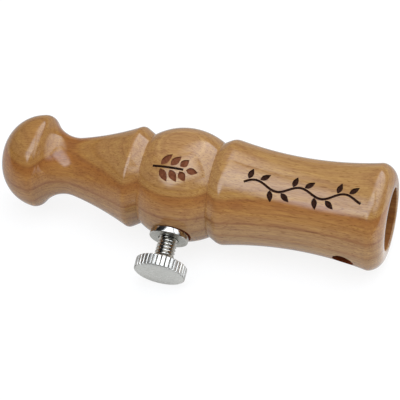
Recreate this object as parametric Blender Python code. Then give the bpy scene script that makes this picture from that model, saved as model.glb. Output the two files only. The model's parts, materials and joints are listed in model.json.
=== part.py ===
"""Roe deer call: a turned wooden call whose brass reed is tuned by a knurled thumb screw.

The call lies on its side, +Z up, mouth towards -X and bell towards +X. It stands on its ball and
on the rim of the screw's head. Each piece is modelled along the body's axis, from the mouth, with
the screw pointing to -Z, and the empty call_axis lays the whole call down. Lengths are in metres.
"""

import math

import bmesh
import bpy
from mathutils import Matrix, Vector

# Mouthpiece, outside, from the mouth to the ball
KNOB_RADIUS = 0.0096
KNOB_DOME_RISE = 0.00198
KNOB_EDGE_EASE = 0.0008
NECK_STATION = 0.0144
NECK_RADIUS = 0.00594
COVE_RADIUS = 0.0063
COVE_PAST_NECK = 0.227
FLARE_LENGTH = 0.01405
FLARE_HOLLOW = 0.00037
COLLAR_RADIUS = 0.0105
COLLAR_EASE = 0.00035
COLLAR_BEVEL_LENGTH = 0.00245
FRONT_GROOVE_RADIUS = 0.00912
BALL_LENGTH = 0.0146
BALL_RADIUS = 0.01165
PARTING_WALL = 0.00217

# Mouthpiece, bores and tenon
MOUTH_BORE_RADIUS = 0.0024
MOUTH_RIM_EASE = 0.0005
CHAMBER_LEAD = 0.003
DRILL_POINT_ANGLE = 1.03
TENON_LENGTH = 0.011
TENON_WALL = 0.0023
TENON_EASE = 0.0004

# Barrel
BARREL_LENGTH = 0.036
SHOULDER_LENGTH = 0.0024
SHOULDER_WALL = 0.0032
SHOULDER_EASE = 0.0008
WAIST_WALL = 0.00171
BELL_RADIUS = 0.0109
BELL_EASE = 0.0007
BELL_LIP_LENGTH = 0.0031
BELL_LIP_RISE = 0.0006
BELL_BORE_RADIUS = 0.0064
BELL_BORE_EASE = 0.0004
END_RING_WIDTH = 0.0007
LANYARD_HOLE_RADIUS = 0.002
LANYARD_HOLE_INSET = 0.008
LANYARD_HOLE_TURN = 0.105

# Tuning screw and its bush, measured along the screw
SEAT_DEPTH = 0.00065
SPOT_FACE_MARGIN = 0.0004
FLANGE_WIDTH = 0.0012
FLANGE_THICKNESS = 0.00125
FLANGE_EASE = 0.0002
SLEEVE_WALL = 0.0006
SLEEVE_LENGTH = 0.0046
SCREW_RADIUS = 0.002
SCREW_TIP_EASE = 0.0004
SCREW_SHOWN = 0.0052
SCREW_TRAVEL_IN = 0.00315
HEAD_RADIUS = 0.00527
HEAD_THICKNESS = 0.0027
HEAD_EASE = 0.0003
KNURL_COUNT = 36
KNURL_DEPTH = 0.00025
KNURL_GROOVE_SHARE = 0.45
PAD_SHY = 0.0005
PAD_THICKNESS = 0.0008
TIP_WALL = 0.0006
PAD_STEM_LENGTH = 0.0015

# Reed unit
BLOCK_LENGTH = 0.0102
BLOCK_WALL = 0.002
BLOCK_RIM_SHY = 0.0006
BLOCK_RIM_THICKNESS = 0.001
TROUGH_RADIUS = 0.0028
TROUGH_WALL = 0.0006
TROUGH_FLAT = 0.001
TROUGH_END_WALL = 0.001
TROUGH_PAST_REED = 0.0008
REED_THICKNESS = 0.00025
REED_EDGE = 0.0002
REED_FREE_LENGTH = 0.0165
REED_ROOT_LENGTH = 0.006
REED_LIFT = 0.0009
WEDGE_SHY = 0.0017
WEDGE_SHOWN = 0.0012
WEDGE_TAPER = 0.035

# Sealing rings
RING_GROOVE_DEPTH = 0.001
RING_SIDE_GAP = 0.0002
RING_LAND = 0.00075

# Clearances
FIT = 0.0002
SEAT_GAP = 0.00015
LAY_GAP = 0.00015
RUNNING_GAP = 0.0003

# Resolution of the turned shapes
BODY_SEGMENTS = 48
SMALL_SEGMENTS = 32
ARC_STEP = 0.18
ARC_LENGTH = 0.005
EASE_STEPS = 3

# Radii that fit one another, from the trough outwards
trough_bore_radius = TROUGH_RADIUS - TROUGH_WALL
block_bore_radius = TROUGH_RADIUS + FIT
block_radius = block_bore_radius + BLOCK_WALL
chamber_radius = block_radius + FIT
tenon_radius = chamber_radius + TENON_WALL
socket_radius = tenon_radius + FIT
rear_groove_radius = tenon_radius + PARTING_WALL
shoulder_radius = socket_radius + SHOULDER_WALL
waist_radius = socket_radius + WAIST_WALL
block_rim_radius = tenon_radius - BLOCK_RIM_SHY
mouth_rim_radius = MOUTH_BORE_RADIUS + MOUTH_RIM_EASE
end_ring_radius = BELL_BORE_RADIUS + BELL_BORE_EASE + END_RING_WIDTH
bush_bore_radius = SCREW_RADIUS + FIT
sleeve_radius = bush_bore_radius + SLEEVE_WALL
flange_radius = sleeve_radius + FLANGE_WIDTH
pad_radius = SCREW_RADIUS - PAD_SHY
pad_hole_radius = SCREW_RADIUS - SCREW_TIP_EASE - TIP_WALL
pad_stem_radius = pad_hole_radius - RUNNING_GAP

# Stations along the body's axis
ring_width = RING_GROOVE_DEPTH + FIT - 2 * LAY_GAP
ring_groove_width = ring_width + 2 * RING_SIDE_GAP
collar_station = NECK_STATION + FLARE_LENGTH
front_groove_station = collar_station + COLLAR_BEVEL_LENGTH
parting_station = front_groove_station + BALL_LENGTH
screw_station = front_groove_station + BALL_LENGTH / 2
tenon_end_station = parting_station + TENON_LENGTH
front_ring_station = parting_station + RING_LAND + ring_groove_width / 2
rear_ring_station = tenon_end_station - TENON_EASE - RING_LAND - ring_groove_width / 2
bell_station = parting_station + BARREL_LENGTH
rim_front_station = tenon_end_station + SEAT_GAP
rim_back_station = rim_front_station + BLOCK_RIM_THICKNESS
socket_end_station = rim_back_station + RUNNING_GAP
block_front_station = rim_back_station - BLOCK_LENGTH
reed_tip_station = block_front_station - REED_FREE_LENGTH
reed_root_station = block_front_station + REED_ROOT_LENGTH
wedge_front_station = block_front_station - WEDGE_SHOWN
wedge_end_station = reed_root_station - WEDGE_SHY
trough_front_station = reed_tip_station - TROUGH_PAST_REED
trough_flat_end_station = reed_root_station + RUNNING_GAP
chamber_station = trough_front_station - CHAMBER_LEAD

# Distances from the body's axis, along the screw
reed_face = TROUGH_FLAT + LAY_GAP + REED_THICKNESS
reed_share_at_screw = (block_front_station - screw_station) / REED_FREE_LENGTH
reed_face_at_screw = reed_face + REED_LIFT * reed_share_at_screw**2
wedge_face = reed_face + REED_LIFT * (WEDGE_SHOWN / REED_FREE_LENGTH) ** 2 + LAY_GAP
pad_face = reed_face_at_screw + RUNNING_GAP + SCREW_TRAVEL_IN
screw_tip = pad_face + PAD_THICKNESS + LAY_GAP
seat_face = BALL_RADIUS - SEAT_DEPTH
flange_under = seat_face + SEAT_GAP
flange_face = flange_under + FLANGE_THICKNESS
head_under = flange_face + SCREW_SHOWN
head_face = head_under + HEAD_THICKNESS

# The call lies on its ball and on the rim of the screw's head, which sets the screw's slope.
head_rim_reach = math.hypot(head_face, HEAD_RADIUS)
screw_slope = math.asin(BALL_RADIUS / head_rim_reach) - math.atan2(HEAD_RADIUS, head_face)
screw_side = head_face * math.cos(screw_slope) + HEAD_RADIUS * math.sin(screw_slope)


def bow(start, end, rise):
    """Points of the arc from start to end that stands off its chord by rise, outwards if positive."""
    chord = end - start
    if rise == 0:
        return [start, end]
    half = chord.length / 2
    radius = (half**2 + rise**2) / (2 * abs(rise))
    side = math.copysign(1, rise)
    outward = Vector((-chord.y, chord.x)).normalized() * side
    centre = (start + end) / 2 + outward * (abs(rise) - radius)
    sweep = 2 * math.asin(min(1, half / radius))
    steps = max(2, math.ceil(sweep / ARC_STEP), math.ceil(sweep * radius / ARC_LENGTH))
    turn = Matrix.Rotation(-side * sweep / steps, 2)
    points = [start]
    for _ in range(steps - 1):
        points.append(centre + turn @ (points[-1] - centre))
    return points + [end]


def cut_back(points, setback):
    """The polyline from points[0] without its first stretch of length setback."""
    left = setback
    for index, (here, there) in enumerate(zip(points, points[1:])):
        length = (there - here).length
        if length > left:
            return [here.lerp(there, left / length)] + points[index + 1:]
        left -= length
    return points[-1:]


def eased(before, after, setback):
    """The two runs joined, with the corner between them rounded from setback before to setback after."""
    if setback == 0:
        return before + after[1:]
    corner = after[0]
    first = cut_back(before[::-1], setback)[::-1]
    second = cut_back(after, setback)
    start = first[-1]
    end = second[0]
    middle = (start + end) / 2
    depth = (middle - corner).length
    half = (end - start).length / 2
    centre = middle + (middle - corner) * (half / depth) ** 2
    arm = start - centre
    turn = arm.angle_signed(end - centre)
    steps = range(1, EASE_STEPS)
    round_points = [centre + Matrix.Rotation(-turn * step / EASE_STEPS, 2) @ arm for step in steps]
    return first + round_points + second


def profile(stations):
    """Outline through stations of (along, radius, rise of the arc to the next station, easing)."""
    corners = [Vector(station[:2]) for station in stations]
    runs = [bow(corners[i], corners[i + 1], stations[i][2]) for i in range(len(stations) - 1)]
    outline = runs[0]
    for run, station in zip(runs[1:], stations[1:]):
        outline = eased(outline, run, station[3])
    return outline


def ring_groove(station, radius):
    """Outline of a square groove for a sealing ring, cut inwards from radius and centred on station."""
    front = station - ring_groove_width / 2
    back = station + ring_groove_width / 2
    bottom = radius - RING_GROOVE_DEPTH
    return [(front, radius), (front, bottom), (back, bottom), (back, radius)]


def turned(outline, segments):
    """A shape turned on the X axis from an outline of (along, radius) points."""
    shape = bmesh.new()
    points = [shape.verts.new((along, 0, radius)) for along, radius in outline]
    edges = [shape.edges.new(pair) for pair in zip(points, points[1:])]
    if outline[0][1] > 0:
        edges.append(shape.edges.new((points[-1], points[0])))
    bmesh.ops.spin(
        shape,
        geom=points + edges,
        axis=(1, 0, 0),
        angle=2 * math.pi,
        steps=segments,
        use_merge=True,
    )
    bmesh.ops.remove_doubles(shape, verts=shape.verts, dist=1e-7)
    bmesh.ops.recalc_face_normals(shape, faces=shape.faces)
    return shape


def material(name, colour, roughness, metallic=0):
    """A plain material for a piece, with its colour in linear RGB."""
    made = bpy.data.materials.new(name)
    made.use_nodes = True
    shader = made.node_tree.nodes["Principled BSDF"]
    shader.inputs["Base Color"].default_value = (*colour, 1)
    shader.inputs["Roughness"].default_value = roughness
    shader.inputs["Metallic"].default_value = metallic
    return made


def piece(name, shape, finish):
    """An object on the call's axis, made from a bmesh and shaded smooth but for its edges."""
    mesh = bpy.data.meshes.new(name)
    shape.to_mesh(mesh)
    shape.free()
    mesh.shade_smooth()
    mesh.set_sharp_from_angle(angle=math.radians(35))
    if finish:
        mesh.materials.append(finish)
    made = bpy.data.objects.new(name, mesh)
    made.parent = call_axis
    bpy.context.scene.collection.objects.link(made)
    return made


def along_screw(made):
    """Turns a piece made on the X axis to lie along the screw, measured from the body's axis."""
    made.location = (screw_station, 0, 0)
    made.rotation_euler = (0, math.pi / 2, 0)
    return made


def helper(name, shape):
    """A hidden shape that a Boolean uses."""
    made = piece(name, shape, None)
    made.hide_render = True
    made.display_type = "WIRE"
    return made


def combine(target, tool, operation):
    """Cuts a helper out of a piece, or joins it on."""
    modifier = target.modifiers.new(tool.name, "BOOLEAN")
    modifier.object = tool
    modifier.operation = operation
    modifier.solver = "EXACT"


def make_mouthpiece():
    cove_height = NECK_RADIUS + COVE_RADIUS
    knob_edge = NECK_STATION - math.sqrt(COVE_RADIUS**2 - (cove_height - KNOB_RADIUS) ** 2)
    flare_start = NECK_STATION + COVE_RADIUS * math.sin(COVE_PAST_NECK)
    flare_radius = cove_height - COVE_RADIUS * math.cos(COVE_PAST_NECK)
    cove_chord = math.hypot(flare_start - knob_edge, KNOB_RADIUS - flare_radius)
    cove_hollow = COVE_RADIUS - math.sqrt(COVE_RADIUS**2 - (cove_chord / 2) ** 2)
    ball_rise = BALL_RADIUS - (FRONT_GROOVE_RADIUS + rear_groove_radius) / 2
    outside = profile(
        [
            (0, mouth_rim_radius, KNOB_DOME_RISE, 0),
            (knob_edge, KNOB_RADIUS, -cove_hollow, KNOB_EDGE_EASE),
            (flare_start, flare_radius, -FLARE_HOLLOW, 0),
            (collar_station, COLLAR_RADIUS, 0, COLLAR_EASE),
            (front_groove_station, FRONT_GROOVE_RADIUS, ball_rise, 0),
            (parting_station, rear_groove_radius, 0, 0),
            (parting_station, tenon_radius, 0, 0),
        ]
    )
    drill_point = (chamber_radius - MOUTH_BORE_RADIUS) / math.tan(DRILL_POINT_ANGLE)
    tenon = [
        *ring_groove(front_ring_station, tenon_radius),
        *ring_groove(rear_ring_station, tenon_radius),
        (tenon_end_station - TENON_EASE, tenon_radius),
        (tenon_end_station, tenon_radius - TENON_EASE),
    ]
    bores = [
        (tenon_end_station, chamber_radius),
        (chamber_station, chamber_radius),
        (chamber_station - drill_point, MOUTH_BORE_RADIUS),
        (MOUTH_RIM_EASE, MOUTH_BORE_RADIUS),
    ]
    made = piece("mouthpiece", turned(outside + tenon + bores, BODY_SEGMENTS), wood)
    beyond = BALL_RADIUS + FLANGE_THICKNESS
    spot_radius = flange_radius + SPOT_FACE_MARGIN
    hole_radius = sleeve_radius + FIT
    seat = [
        (0, 0),
        (0, hole_radius),
        (seat_face, hole_radius),
        (seat_face, spot_radius),
        (beyond, spot_radius),
        (beyond, 0),
    ]
    combine(made, along_screw(helper("screw_seat", turned(seat, SMALL_SEGMENTS))), "DIFFERENCE")


def make_barrel():
    front = parting_station + FIT
    shoulder_station = parting_station + SHOULDER_LENGTH
    rim_station = bell_station - BELL_LIP_LENGTH
    waist_hollow = (shoulder_radius + BELL_RADIUS) / 2 - waist_radius
    outside = profile(
        [
            (front, rear_groove_radius, 0, 0),
            (shoulder_station, shoulder_radius, -waist_hollow, SHOULDER_EASE),
            (rim_station, BELL_RADIUS, BELL_LIP_RISE, BELL_EASE),
            (bell_station, end_ring_radius, 0, 0),
            (bell_station, BELL_BORE_RADIUS, 0, BELL_BORE_EASE),
            (socket_end_station, BELL_BORE_RADIUS, 0, 0),
        ]
    )
    socket = [(socket_end_station, socket_radius), (front, socket_radius)]
    made = piece("barrel", turned(outside + socket, BODY_SEGMENTS), wood)
    hole = [(0, 0), (0, LANYARD_HOLE_RADIUS), (2 * BELL_RADIUS, LANYARD_HOLE_RADIUS), (2 * BELL_RADIUS, 0)]
    drill = helper("lanyard_drill", turned(hole, SMALL_SEGMENTS))
    drill.location = (bell_station - LANYARD_HOLE_INSET, 0, 0)
    drill.rotation_mode = "ZYX"
    drill.rotation_euler = (LANYARD_HOLE_TURN, math.pi / 2, 0)
    combine(made, drill, "DIFFERENCE")


def make_ring(name, station, bottom_radius, wall_radius):
    """A rubber ring that lies in a groove of bottom_radius, inside a bore of wall_radius."""
    inner = bottom_radius + LAY_GAP
    outer = wall_radius - LAY_GAP
    section = (outer - inner) / 2
    corners = 8
    outline = []
    for corner in range(corners):
        angle = 2 * math.pi * corner / corners
        outline.append((station - section * math.sin(angle), (inner + outer) / 2 + section * math.cos(angle)))
    piece(name, turned(outline, SMALL_SEGMENTS), rubber)


def make_rings():
    tenon_groove = tenon_radius - RING_GROOVE_DEPTH
    block_groove = block_radius - RING_GROOVE_DEPTH
    make_ring("tenon_ring_front", front_ring_station, tenon_groove, socket_radius)
    make_ring("tenon_ring_rear", rear_ring_station, tenon_groove, socket_radius)
    make_ring("block_ring", rear_ring_station, block_groove, chamber_radius)


def make_screw_bush():
    outline = [
        (flange_under - SLEEVE_LENGTH, bush_bore_radius),
        (flange_under - SLEEVE_LENGTH, sleeve_radius),
        (flange_under, sleeve_radius),
        (flange_under, flange_radius),
        (flange_face - FLANGE_EASE, flange_radius),
        (flange_face, flange_radius - FLANGE_EASE),
        (flange_face, bush_bore_radius + FLANGE_EASE),
        (flange_face - FLANGE_EASE, bush_bore_radius),
    ]
    along_screw(piece("screw_bush", turned(outline, SMALL_SEGMENTS), nickel))


def make_thumb_screw():
    head = [
        (head_under, 0),
        (head_under, HEAD_RADIUS - KNURL_DEPTH - HEAD_EASE),
        (head_under + HEAD_EASE, HEAD_RADIUS),
        (head_face - HEAD_EASE, HEAD_RADIUS),
        (head_face, HEAD_RADIUS - KNURL_DEPTH - HEAD_EASE),
        (head_face, 0),
    ]
    steps_per_ridge = 3
    shape = turned(head, KNURL_COUNT * steps_per_ridge)
    ridge = 2 * math.pi / KNURL_COUNT
    for vert in shape.verts:
        radius = math.hypot(vert.co.y, vert.co.z)
        if radius < HEAD_RADIUS - KNURL_DEPTH / 2:
            continue
        place = math.atan2(vert.co.y, vert.co.z) / ridge
        groove = round(place)
        offset = place - groove
        if abs(offset) < 1 / (2 * steps_per_ridge):
            radius = HEAD_RADIUS - KNURL_DEPTH
        else:
            offset = math.copysign(KNURL_GROOVE_SHARE / 2, offset)
        angle = (groove + offset) * ridge
        vert.co.y = radius * math.sin(angle)
        vert.co.z = radius * math.cos(angle)
    made = along_screw(piece("thumb_screw", shape, nickel))
    stem_end = screw_tip + PAD_STEM_LENGTH + RUNNING_GAP
    shank_end = head_under + HEAD_THICKNESS / 2
    shank = [
        (stem_end, 0),
        (stem_end, pad_hole_radius),
        (screw_tip, pad_hole_radius),
        (screw_tip, SCREW_RADIUS - SCREW_TIP_EASE),
        (screw_tip + SCREW_TIP_EASE, SCREW_RADIUS),
        (shank_end, SCREW_RADIUS),
        (shank_end, 0),
    ]
    combine(made, along_screw(helper("screw_shank", turned(shank, SMALL_SEGMENTS))), "UNION")


def make_reed_pad():
    pad_back = pad_face + PAD_THICKNESS
    outline = [
        (pad_face, 0),
        (pad_face, pad_radius),
        (pad_back, pad_radius),
        (pad_back, pad_stem_radius),
        (screw_tip + PAD_STEM_LENGTH, pad_stem_radius),
        (screw_tip + PAD_STEM_LENGTH, 0),
    ]
    along_screw(piece("reed_pad", turned(outline, SMALL_SEGMENTS), nylon))


def make_reed_block():
    outline = [
        (block_front_station, block_bore_radius),
        (block_front_station, block_radius),
        *ring_groove(rear_ring_station, block_radius),
        (rim_front_station, block_radius),
        (rim_front_station, block_rim_radius),
        (rim_back_station, block_rim_radius),
        (rim_back_station, block_bore_radius),
    ]
    piece("reed_block", turned(outline, SMALL_SEGMENTS), hardwood)


def make_reed_trough():
    bore_front = trough_front_station + TROUGH_END_WALL
    outline = [
        (trough_front_station, 0),
        (trough_front_station, TROUGH_RADIUS),
        (rim_back_station, TROUGH_RADIUS),
        (rim_back_station, trough_bore_radius),
        (bore_front, trough_bore_radius),
        (bore_front, 0),
    ]
    made = piece("reed_trough", turned(outline, SMALL_SEGMENTS), brass)
    lead = TROUGH_RADIUS
    length = trough_flat_end_station - trough_front_station + lead
    depth = 2 * TROUGH_RADIUS
    shape = bmesh.new()
    bmesh.ops.create_cube(shape, size=1, matrix=Matrix.Diagonal((length, 2 * depth, depth, 1)))
    flat = helper("trough_flat", shape)
    flat.location = (trough_flat_end_station - length / 2, 0, -TROUGH_FLAT - depth / 2)
    combine(made, flat, "DIFFERENCE")


def make_reed():
    half_width = math.sqrt(TROUGH_RADIUS**2 - reed_face**2) - REED_EDGE
    steps = 12
    shape = bmesh.new()
    bmesh.ops.create_grid(
        shape,
        x_segments=1,
        y_segments=1,
        size=1,
        matrix=Matrix.Translation((reed_root_station, 0, -reed_face + REED_THICKNESS / 2))
        @ Matrix.Rotation(math.pi / 2, 4, "Y")
        @ Matrix.Diagonal((REED_THICKNESS / 2, half_width, 1, 1)),
    )
    end = list(shape.faces)
    previous = Vector((reed_root_station, 0, 0))
    for step in range(steps + 1):
        share = step / steps
        here = Vector((block_front_station - share * REED_FREE_LENGTH, 0, -REED_LIFT * share**2))
        grown = bmesh.ops.extrude_face_region(shape, geom=end)["geom"]
        corners = [part for part in grown if isinstance(part, bmesh.types.BMVert)]
        bmesh.ops.translate(shape, verts=corners, vec=here - previous)
        if step:
            bmesh.ops.delete(shape, geom=end, context="FACES_ONLY")
        end = [part for part in grown if isinstance(part, bmesh.types.BMFace)]
        previous = here
    bmesh.ops.recalc_face_normals(shape, faces=shape.faces)
    piece("reed", shape, brass)


def make_reed_wedge():
    outline = [
        (wedge_front_station, 0),
        (wedge_front_station, TROUGH_RADIUS),
        (wedge_end_station, TROUGH_RADIUS),
        (wedge_end_station, 0),
    ]
    shape = turned(outline, SMALL_SEGMENTS)
    sheared = bmesh.ops.bisect_plane(
        shape,
        geom=list(shape.verts) + list(shape.edges) + list(shape.faces),
        plane_co=(wedge_front_station, 0, -wedge_face),
        plane_no=(math.sin(WEDGE_TAPER), 0, math.cos(WEDGE_TAPER)),
        clear_outer=True,
    )
    rim = [part for part in sheared["geom_cut"] if isinstance(part, bmesh.types.BMEdge)]
    bmesh.ops.contextual_create(shape, geom=rim)
    bmesh.ops.recalc_face_normals(shape, faces=shape.faces)
    piece("reed_wedge", shape, hardwood)


for old in list(bpy.data.objects):
    bpy.data.objects.remove(old, do_unlink=True)

call_axis = bpy.data.objects.new("call_axis", None)
bpy.context.scene.collection.objects.link(call_axis)
call_axis.location = (-bell_station / 2, (screw_side - BALL_RADIUS) / 2, BALL_RADIUS)
call_axis.rotation_euler = (screw_slope - math.pi / 2, 0, 0)

wood = material("lacquered_wood", (0.42, 0.22, 0.085), 0.3)
nickel = material("nickel_plate", (0.72, 0.7, 0.66), 0.25, 1)
rubber = material("black_rubber", (0.02, 0.02, 0.02), 0.7)
nylon = material("white_nylon", (0.75, 0.74, 0.7), 0.5)
brass = material("sheet_brass", (0.7, 0.5, 0.2), 0.3, 1)
hardwood = material("pale_hardwood", (0.5, 0.33, 0.17), 0.6)

make_mouthpiece()
make_barrel()
make_rings()
make_screw_bush()
make_thumb_screw()
make_reed_pad()
make_reed_block()
make_reed_trough()
make_reed()
make_reed_wedge()
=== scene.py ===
# %% [markdown]
# # A turned roe deer call with a tuning screw
#
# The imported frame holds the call's solids, bodies and joints. This lesson dresses them: the wooden
# pieces are turned again with a finer outline, the screw gets a real thread and a real knurl, and
# every surface gets the finish of the real thing. Lengths are in metres unless a name says mm, and
# an angle whose name says turn, tilt or heading is in degrees.

# %% Load the frame
import json
import math

import bmesh
import bpy
from mathutils import Matrix, Vector
from mathutils.bvhtree import BVHTree


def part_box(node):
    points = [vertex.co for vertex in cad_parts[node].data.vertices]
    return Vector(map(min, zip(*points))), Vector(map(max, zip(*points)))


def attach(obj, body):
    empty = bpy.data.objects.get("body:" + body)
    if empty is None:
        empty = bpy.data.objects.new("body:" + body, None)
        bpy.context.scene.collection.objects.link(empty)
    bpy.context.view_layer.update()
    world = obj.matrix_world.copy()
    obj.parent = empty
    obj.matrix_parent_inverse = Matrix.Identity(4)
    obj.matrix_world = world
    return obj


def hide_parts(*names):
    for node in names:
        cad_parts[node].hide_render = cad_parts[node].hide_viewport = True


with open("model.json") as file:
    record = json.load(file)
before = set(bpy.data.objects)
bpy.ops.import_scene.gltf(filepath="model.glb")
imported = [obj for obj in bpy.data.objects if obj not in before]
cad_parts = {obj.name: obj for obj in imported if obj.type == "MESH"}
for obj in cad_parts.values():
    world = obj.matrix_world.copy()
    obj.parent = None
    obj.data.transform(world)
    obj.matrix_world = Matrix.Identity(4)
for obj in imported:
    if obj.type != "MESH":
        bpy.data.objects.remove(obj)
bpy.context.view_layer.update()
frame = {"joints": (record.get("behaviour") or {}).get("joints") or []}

MM = 0.001


# %% [markdown]
# ## Where the call lies
#
# A turner thinks along the lathe's axis, so each piece is modelled there: X runs from the mouth to
# the bell, and the screw points to -Z. One matrix lays the finished mesh down in the frame, and a
# second one turns what was modelled on X to lie along the screw. Both come from the screw's joint
# and the mouthpiece's box, so nothing has to be fitted by hand.

# %% The axes of the body and of the screw
RIGHT_ANGLE = math.pi / 2
screw_joint = next(joint for joint in frame["joints"] if joint["name"] == "screw_turn")
screw_foot = Vector(screw_joint["pos_m"])
inward = Vector(screw_joint["axis"]).normalized()
along = Vector((1, 0, 0))
mouth = Vector((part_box("mouthpiece")[0].x, screw_foot.y, screw_foot.z))
screw_station = screw_foot.x - mouth.x
turned_down = Matrix((along, inward.cross(along), inward)).transposed().to_4x4()
body_axis = Matrix.Translation(mouth) @ turned_down
to_screw = Matrix.Translation((screw_station, 0, 0))
screw_axis = body_axis @ to_screw @ Matrix.Rotation(RIGHT_ANGLE, 4, "Y")
print("mouth at", mouth, "and the screw", round(screw_station / MM, 2), "mm along from it")

# %% [markdown]
# ## The camera
#
# The call was photographed from above its front, with a long lens and the camera rolled a little.
# The camera's place, turn and lens were found by laying the solids over the photograph.

# %% Camera
CAMERA_PLACE = (0.09145, -0.25968, 0.30902)
CAMERA_TURN = (42.756, 3.058, 15.622)
LENS_MM = 180
SENSOR_MM = 36
NEAREST_SEEN = 0.01
camera = bpy.data.objects.new("camera", bpy.data.cameras.new("camera"))
camera.location = CAMERA_PLACE
camera.rotation_euler = [math.radians(angle) for angle in CAMERA_TURN]
camera.data.lens = LENS_MM
camera.data.sensor_width = SENSOR_MM
camera.data.clip_start = NEAREST_SEEN
bpy.context.scene.collection.objects.link(camera)
bpy.context.scene.camera = camera
bpy.context.scene.view_settings.view_transform = "Standard"
print("camera", round((camera.location - screw_foot).length, 3), "m from the screw")

# %% [markdown]
# ## Helpers for colours and materials
#
# Colours are written as they look on a screen and turned to the linear values that light needs.
# Wiring nodes takes many lines that look alike, so one function adds a node with its settings and
# its links, and a material reads as a list. Another starts a material with those values that are
# the same all over the surface.

# %% Colours
def linear(code):
    """The linear RGBA of an sRGB hex colour."""
    shares = [int(code[place:place + 2], 16) / 255 for place in (1, 3, 5)]
    return [s / 12.92 if s < 0.04045 else ((s + 0.055) / 1.055) ** 2.4 for s in shares] + [1]


print("mid grey in linear light:", round(linear("#808080")[0], 3))

# %% Nodes and materials
def add(tree, kind, sockets, stops=(), **settings):
    """Adds a node: settings are its properties, sockets its values or links, stops a ramp's colours."""
    made = tree.nodes.new("ShaderNode" + kind)
    for name, value in settings.items():
        setattr(made, name, value)
    for socket, value in sockets.items():
        if isinstance(value, bpy.types.NodeSocket):
            tree.links.new(value, made.inputs[socket])
        else:
            made.inputs[socket].default_value = value
    for number, (place, code) in enumerate(stops):
        ramp = made.color_ramp.elements
        stop = ramp[number] if number < len(ramp) else ramp.new(place)
        stop.position = place
        stop.color = linear(code)
    return made


def new_material(name, **values):
    """A material with constant values on its Principled shader, and its node tree."""
    made = bpy.data.materials.new(name)
    made.use_nodes = True
    shader = made.node_tree.nodes["Principled BSDF"]
    for socket, value in values.items():
        shader.inputs[socket.replace("_", " ")].default_value = value
    print("material", name)
    return made, made.node_tree, shader


# %% [markdown]
# ## The white sheet
#
# The call lies on a sheet of white paper. More light would make the paper white, but it would wash
# out the call, so the Light Path node makes it white to the eye alone, and it still takes the call's
# soft shadow. To lacquer and nickel the sheet glows with painted light, brightest close to the call
# and beyond the bell, and fading to the front, where the real light from behind would leave it.

# %% White paper
PAPER_GLOW = 0.86
MIRRORED_GLOW = (0.48, 0.05)  # close to the call's axis, and away from it
MIRRORED_FADE = (0.016, 0.065)  # distances off the axis
PAINTED_POOL_GLOW = 0.75  # a painted pool of light, added beyond the bell
PAINTED_POOL_SIDE = (0.03, 0.05)  # where that starts and is full


def rays_that_see(tree, path):
    """Is 1 for the rays of the camera and those that metal, lacquer or glass send on."""
    total = path.outputs["Is Camera Ray"]
    for kind in ("Is Glossy Ray", "Is Transmission Ray"):
        total = add(tree, "Math", {0: total, 1: path.outputs[kind]}, operation="ADD").outputs[0]
    return total


# Matt paper gives the eye an even white with a soft grey shadow, and it mirrors nothing.
matt = {"Base_Color": linear("#e6e6e6"), "Roughness": 0.9, "Specular_IOR_Level": 0}
paper, tree, shader = new_material("white_paper", **matt)
path = add(tree, "LightPath", {})
place = add(tree, "SeparateXYZ", {0: add(tree, "TexCoord", {}).outputs["Object"]})
off_axis = add(tree, "Math", {0: place.outputs["Y"], 1: mouth.y}, operation="SUBTRACT")
off_axis = add(tree, "Math", {0: off_axis.outputs[0]}, operation="ABSOLUTE")
# Painted light: to mirrored rays the paper glows, strongest near the call's axis and beyond the bell.
fade = {"Value": off_axis.outputs[0], "From Min": MIRRORED_FADE[0], "From Max": MIRRORED_FADE[1]}
faded = add(tree, "MapRange", {**fade, "To Min": MIRRORED_GLOW[0], "To Max": MIRRORED_GLOW[1]})
beyond = add(tree, "Math", {0: place.outputs["X"], 1: off_axis.outputs[0]}, operation="SUBTRACT")
beyond = {"Value": beyond.outputs[0], "From Min": PAINTED_POOL_SIDE[0], "From Max": PAINTED_POOL_SIDE[1]}
lit = add(tree, "MapRange", {**beyond, "To Max": PAINTED_POOL_GLOW})
mirrored = add(tree, "Math", {0: faded.outputs[0], 1: lit.outputs[0]}, operation="ADD")
to_ray = {"Value": path.outputs["Is Glossy Ray"], "To Min": PAPER_GLOW, "To Max": mirrored.outputs[0]}
strength = add(tree, "MapRange", to_ray)
faint = add(tree, "BsdfDiffuse", {"Color": linear("#707070")})
glow = add(tree, "Emission", {"Color": linear("#ffffff"), "Strength": strength.outputs[0]})
lifted = add(tree, "AddShader", {0: faint.outputs[0], 1: glow.outputs[0]})
sheet = {0: rays_that_see(tree, path), 1: shader.outputs[0], 2: lifted.outputs[0]}
sheet = add(tree, "MixShader", sheet)
tree.links.new(sheet.outputs[0], tree.nodes["Material Output"].inputs["Surface"])

# %% Floor
FLOOR_SIZE = 6.0


def mesh_object(name, shape, finishes):
    """An object made from a bmesh, with its materials."""
    mesh = bpy.data.meshes.new(name)
    shape.to_mesh(mesh)
    shape.free()
    for finish in finishes:
        mesh.materials.append(finish)
    made = bpy.data.objects.new(name, mesh)
    bpy.context.scene.collection.objects.link(made)
    return made


floor_shape = bmesh.new()
bmesh.ops.create_grid(floor_shape, x_segments=1, y_segments=1, size=FLOOR_SIZE / 2)
floor = mesh_object("paper_sweep", floor_shape, [paper])
print("paper is", FLOOR_SIZE, "m square")

# %% [markdown]
# ## The surroundings
#
# A white room gives the call a faint light from all round. To the eye it is as white as the paper.

# %% Surroundings
ROOM_GLOW = (0.3, 1.0)  # as light, and to rays that see
world = bpy.data.worlds.new("studio")
bpy.context.scene.world = world
world.use_nodes = True
tree = world.node_tree
seen = rays_that_see(tree, add(tree, "LightPath", {}))
strength = add(tree, "MapRange", {"Value": seen, "To Min": ROOM_GLOW[0], "To Max": ROOM_GLOW[1]})
tree.links.new(strength.outputs[0], tree.nodes["Background"].inputs["Strength"])
tree.nodes["Background"].inputs["Color"].default_value = linear("#ffffff")
print("room glows at", ROOM_GLOW)

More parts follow.
